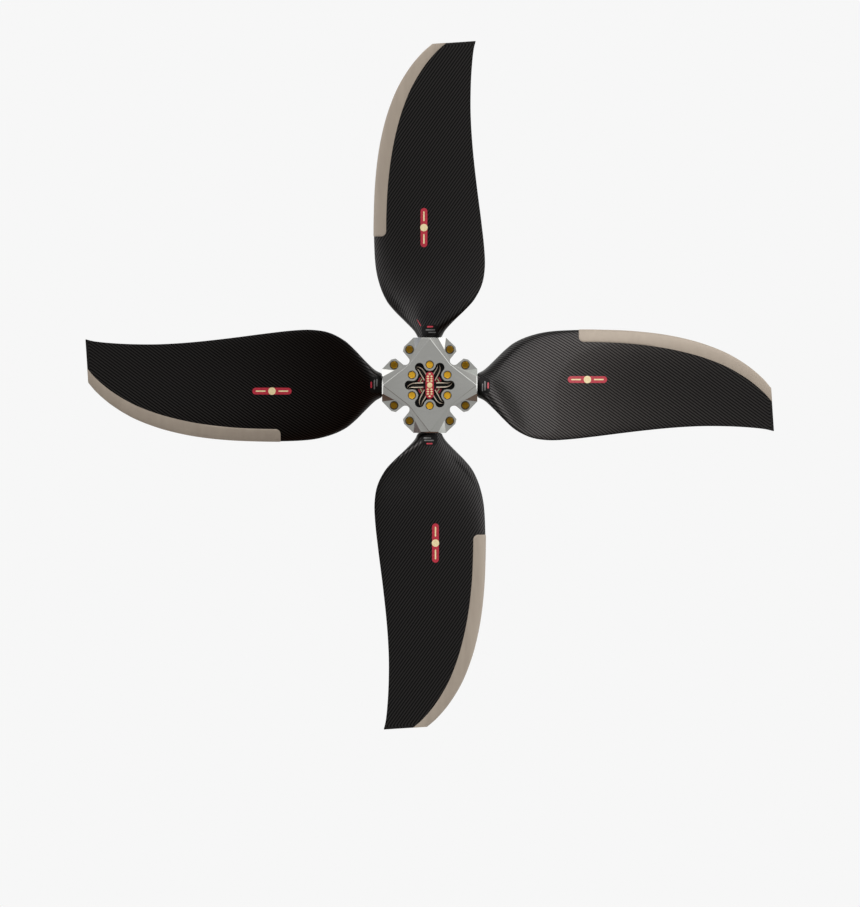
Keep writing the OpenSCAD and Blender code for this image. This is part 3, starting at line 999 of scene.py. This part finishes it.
def world():
    """Pale all over to the camera; to the object, a studio with a bright top and a brown ground."""
    w = bpy.data.worlds.new("studio")
    bpy.context.scene.world = w
    w.use_nodes = True
    tree = w.node_tree
    tree.nodes.clear()

    def add(kind, inputs=(), **settings):
        node = tree.nodes.new(kind)
        for key, value in settings.items():
            setattr(node, key, value)
        for key, value in dict(inputs).items():
            if isinstance(value, bpy.types.NodeSocket):
                tree.links.new(value, node.inputs[key])
            else:
                node.inputs[key].default_value = value
        return node

    direction = add("ShaderNodeTexCoord").outputs["Generated"]
    parts = add("ShaderNodeSeparateXYZ", {0: direction})
    x, y, z = parts.outputs
    bearing = add("ShaderNodeMath", {0: z, 1: x}, operation="ARCTAN2").outputs[0]

    def share_of(value, reach):
        return add("ShaderNodeMapRange", {"Value": value, "From Min": -reach, "From Max": reach}).outputs[0]

    turn = share_of(bearing, math.pi)

    def ramp(value, stops):
        node = add("ShaderNodeValToRGB", {"Fac": value})
        elements = node.color_ramp.elements
        while len(elements) < len(stops):
            elements.new(0.5)
        for element, (place, colour) in zip(elements, stops):
            element.position = place
            element.color = (*colour, 1)
        return node.outputs["Color"]

    def at(degrees):
        return (degrees + 180) / 360

    def blended(low, high, first, second):
        share = add("ShaderNodeMapRange", {"Value": y, "From Min": low, "From Max": high},
                    interpolation_type="SMOOTHSTEP").outputs[0]
        mix = add("ShaderNodeMix", data_type="RGBA")
        for socket, value in zip((mix.inputs["Factor"], mix.inputs["A"], mix.inputs["B"]),
                                 (share, first, second)):
            tree.links.new(value, socket)
        return mix.outputs["Result"]

    rim = ramp(turn, [(at(-180), grey(2.0)), (at(-168), grey(1.9)), (at(-159), (0.17, 0.14, 0.14)),
                      (at(-125), (0.11, 0.064, 0.046)), (at(-60), (0.17, 0.10, 0.073)),
                      (at(-42), (0.44, 0.48, 0.44)), (at(-14), grey(1.2)), (at(0), grey(1.9)),
                      (at(38), grey(2.0)), (at(58), (0.7, 0.73, 0.7)), (at(90), (0.45, 0.45, 0.44)),
                      (at(102), grey(0.5)), (at(113), grey(2.0)), (at(125), grey(1.9)),
                      (at(133), (0.5, 0.5, 0.52)), (at(148), (0.34, 0.36, 0.4)),
                      (at(162), (0.6, 0.6, 0.63)), (at(170), grey(1.9))])
    # Seen from the object towards the front: grey ahead, bright above, dark below
    ahead = ramp(share_of(z, 1.0), [(0.0, (0.08, 0.07, 0.06)), (0.19, (0.18, 0.155, 0.14)),
                                    (0.32, (0.42, 0.41, 0.4)), (0.4, (0.48, 0.48, 0.47)),
                                    (0.5, (0.49, 0.49, 0.48)), (0.65, (0.56, 0.56, 0.55)),
                                    (0.72, (0.76, 0.75, 0.72)), (0.81, (1.8, 1.7, 1.62)),
                                    (0.9, (1.4, 1.34, 1.28))])
    # Behind the object: plain grey, brighter above
    behind = ramp(share_of(z, 1.0), [(0.0, (0.3, 0.28, 0.27)), (0.4, (0.42, 0.42, 0.41)),
                                     (0.6, (0.5, 0.5, 0.49)), (0.8, (1.0, 1.0, 0.98))])
    # Close round the axis behind: white to the left and right, grey above, brown below
    axis = ramp(turn, [(at(-180), grey(2.2)), (at(-145), (0.3, 0.25, 0.22)),
                       (at(-90), (0.12, 0.08, 0.06)), (at(-35), (0.3, 0.25, 0.22)),
                       (at(-15), grey(2.2)), (at(15), grey(2.2)), (at(45), grey(0.5)),
                       (at(135), grey(0.5)), (at(165), grey(2.2))])
    studio = blended(0.9, 0.95, blended(0.25, 0.5, blended(-0.75, -0.2, ahead, rim), behind), axis)
    light = add("ShaderNodeBackground", {"Color": studio, "Strength": 1.0}).outputs[0]
    seen = add("ShaderNodeBackground", {"Color": (*BACKDROP, 1), "Strength": 1.0}).outputs[0]
    is_camera = add("ShaderNodeLightPath").outputs["Is Camera Ray"]
    mix = add("ShaderNodeMixShader", {0: is_camera, 1: light, 2: seen}).outputs[0]
    add("ShaderNodeOutputWorld", {"Surface": mix})


def soft_light(name, place, target, size, power, colour=(1, 1, 1)):
    data = bpy.data.lights.new(name, "AREA")
    data.shape = "SQUARE"
    data.size = size
    data.energy = power
    data.color = colour
    lamp = bpy.data.objects.new(name, data)
    lamp.location = place
    lamp.rotation_euler = (Vector(target) - Vector(place)).to_track_quat("-Z", "Y").to_euler()
    lamp.visible_camera = False
    bpy.context.scene.collection.objects.link(lamp)


# Size of the picture's frame, and where the hub sits in it
FRAME_H = 2.671
LENS = 200.0
SENSOR = 36.0
HUB_ABOVE_MIDDLE = 0.2014


def camera():
    data = bpy.data.cameras.new("camera")
    data.lens = LENS
    data.sensor_width = SENSOR
    data.clip_end = 200
    cam = bpy.data.objects.new("camera", data)
    distance = FRAME_H * LENS / SENSOR
    cam.location = (0.0009, FRONT_Y - distance, -HUB_ABOVE_MIDDLE)
    cam.rotation_euler = (math.pi / 2, 0, 0)
    bpy.context.scene.collection.objects.link(cam)
    bpy.context.scene.camera = cam


floor()
world()
soft_light("top_light", (0.6, -2.0, 3.6), (0, 0, 0), 3.0, 60)
camera()
bpy.context.scene.view_settings.view_transform = "Standard"
